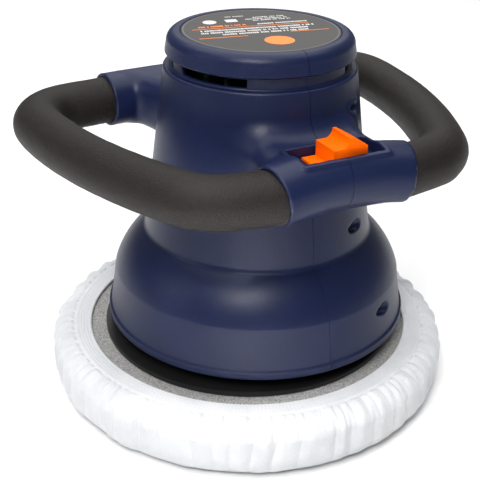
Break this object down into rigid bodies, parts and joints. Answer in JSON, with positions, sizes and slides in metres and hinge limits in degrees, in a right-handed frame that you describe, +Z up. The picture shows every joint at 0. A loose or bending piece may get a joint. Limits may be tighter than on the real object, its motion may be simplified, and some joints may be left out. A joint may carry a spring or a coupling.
{
  "type": "rotary polisher",
  "caption": "Two-handed orbital car polisher: closed loop handle with foam grips, slide switch, bell-shaped motor housing and a round foam pad under a white cloth bonnet.",
  "frame": {"origin": "the point on the floor below the middle of the object's box, which is the motor axis", "axes": "+Z up, -Y to the front (the switch), +X to the right when looking along +Y from the front"},
  "size_m": [0.2814, 0.266, 0.237],
  "materials": {
    "housing_plastic": "satin moulded",
    "label_plastic": "satin",
    "grip_foam": "fine grain",
    "black_plastic": "satin",
    "orange_plastic": "satin",
    "cream_plastic": "satin",
    "wire_sleeve": "satin",
    "red_wire": "satin",
    "board": "satin",
    "capacitor_sleeve": "gloss",
    "tube_steel": "brushed",
    "screw_steel": "zinc plated",
    "bearing_steel": "ground",
    "hub_steel": "turned",
    "spring_steel": "drawn",
    "can_steel": "painted",
    "ferrite": "matt",
    "carbon": "matt",
    "cast_aluminium": "cast",
    "brass": "stamped",
    "copper": "enamelled copper",
    "pad_foam": "open-cell foam with a felt face",
    "bonnet_cloth": "woven cotton"
  },
  "bodies": {
    "housing": {"housing_half_left": "housing_plastic", "housing_half_right": "housing_plastic", "housing_screws": "screw_steel", "label_disc": "label_plastic", "handle_tube_left": "tube_steel", "handle_tube_right": "tube_steel", "grip_left": "grip_foam", "grip_right": "grip_foam", "switch_housing": "black_plastic", "switch_terminals": "brass", "power_inlet": "black_plastic", "inlet_blades": "brass", "inlet_wires": "wire_sleeve", "switch_wires": "wire_sleeve", "motor_leads": "red_wire", "circuit_board": "board", "board_screws": "screw_steel", "bridge_rectifier": "black_plastic", "filter_capacitor": "capacitor_sleeve", "choke_coil": "copper", "motor_can": "can_steel", "motor_magnets": "ferrite", "motor_end_cap": "cream_plastic", "brush_holders": "brass", "carbon_brushes": "carbon", "brush_springs": "spring_steel", "upper_bearing_outer": "bearing_steel", "upper_bearing_balls": "bearing_steel", "lower_bearing_outer": "bearing_steel", "lower_bearing_balls": "bearing_steel", "motor_bracket": "cast_aluminium", "bracket_screws": "screw_steel", "motor_screws": "screw_steel"},
    "rotor": {"motor_shaft": "bearing_steel", "armature_core": "can_steel", "armature_windings": "copper", "commutator": "copper", "upper_bearing_inner": "bearing_steel", "lower_bearing_inner": "bearing_steel", "cooling_fan": "black_plastic", "eccentric_hub": "hub_steel", "counterweight": "can_steel", "counterweight_screws": "screw_steel", "hub_set_screw": "screw_steel", "pad_bearing_inner": "bearing_steel", "pad_bolt": "screw_steel", "pad_bolt_washer": "screw_steel"},
    "pad": {"pad_bearing_outer": "bearing_steel", "pad_bearing_balls": "bearing_steel", "bearing_retainer": "spring_steel", "backing_plate": "black_plastic", "foam_pad": "pad_foam", "bonnet": "bonnet_cloth", "bonnet_elastic": "bonnet_cloth"},
    "switch": {"switch_slider": "orange_plastic", "switch_lever": "black_plastic"}
  },
  "joints": [
    {"name": "rotor_spin", "type": "hinge", "parent": "housing", "child": "rotor", "pos_m": [0, 0, 0.1], "axis": [0, 0, 1], "continuous": true},
    {"name": "pad_spin", "type": "hinge", "parent": "rotor", "child": "pad", "pos_m": [-0.006, 0, 0.051], "axis": [0, 0, 1], "continuous": true},
    {"name": "switch_slide", "type": "slide", "parent": "housing", "child": "switch", "axis": [-1, 0, 0], "range_m": [0, 0.008]}
  ]
}
